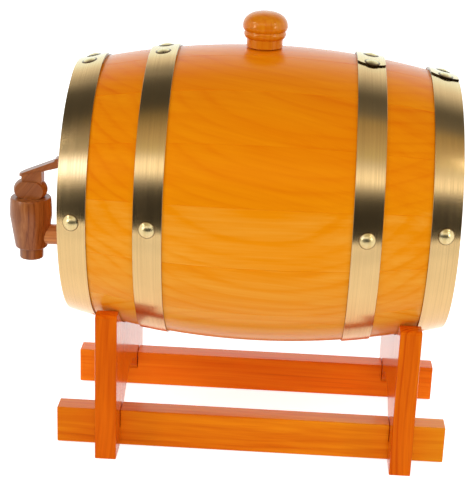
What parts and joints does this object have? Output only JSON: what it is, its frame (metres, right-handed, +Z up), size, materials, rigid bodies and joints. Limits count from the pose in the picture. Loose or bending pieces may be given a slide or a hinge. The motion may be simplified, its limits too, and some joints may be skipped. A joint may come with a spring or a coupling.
{
  "type": "liquor cask dispenser",
  "caption": "Small wooden cask lying on its side in a cradle stand, bound with brass hoops, with a turned wooden tap in the front head and a mushroom bung on top.",
  "frame": {"origin": "on the table, under the middle of the whole part's bounding box", "axes": "+Z up; the cask lies along Y, with the tap towards -Y"},
  "size_m": [0.1674, 0.2552, 0.2452],
  "materials": {
    "cask_wood": "orange lacquer, glossy",
    "bung_wood": "orange lacquer, glossy",
    "stand_wood": "red-orange lacquer, glossy",
    "tap_wood": "plain turned hardwood, matte",
    "hoop_brass": "brushed round the hoop",
    "fastener_brass": "bright domed heads"
  },
  "bodies": {
    "stand": {"front_cradle_board": "stand_wood", "rear_cradle_board": "stand_wood", "left_rail": "stand_wood", "right_rail": "stand_wood"},
    "cask": {"bung_stave": "cask_wood", "stave_01": "cask_wood", "stave_02": "cask_wood", "stave_03": "cask_wood", "stave_04": "cask_wood", "stave_05": "cask_wood", "stave_06": "cask_wood", "stave_07": "cask_wood", "stave_08": "cask_wood", "stave_09": "cask_wood", "stave_10": "cask_wood", "stave_11": "cask_wood", "stave_12": "cask_wood", "stave_13": "cask_wood", "stave_14": "cask_wood", "stave_15": "cask_wood", "front_head_middle_board": "cask_wood", "front_head_left_board": "cask_wood", "front_head_right_board": "cask_wood", "rear_head_middle_board": "cask_wood", "rear_head_left_board": "cask_wood", "rear_head_right_board": "cask_wood", "front_end_hoop": "hoop_brass", "front_belly_hoop": "hoop_brass", "rear_belly_hoop": "hoop_brass", "rear_end_hoop": "hoop_brass", "lap_rivets": "fastener_brass", "hoop_nails": "fastener_brass", "tap_body": "tap_wood", "tap_shank": "tap_wood"},
    "bung": {"bung": "bung_wood"},
    "tap_key": {"tap_key": "tap_wood"}
  },
  "joints": [
    {"name": "cask_lift", "type": "slide", "parent": "stand", "child": "cask", "axis": [0, 0, 1], "range_m": [0, 0.08]},
    {"name": "bung_lift", "type": "slide", "parent": "cask", "child": "bung", "axis": [0, 0, 1], "range_m": [0, 0.045]},
    {"name": "tap_turn", "type": "hinge", "parent": "cask", "child": "tap_key", "pos_m": [0, -0.11545, 0.1325], "axis": [0, 0, 1], "continuous": true}
  ]
}
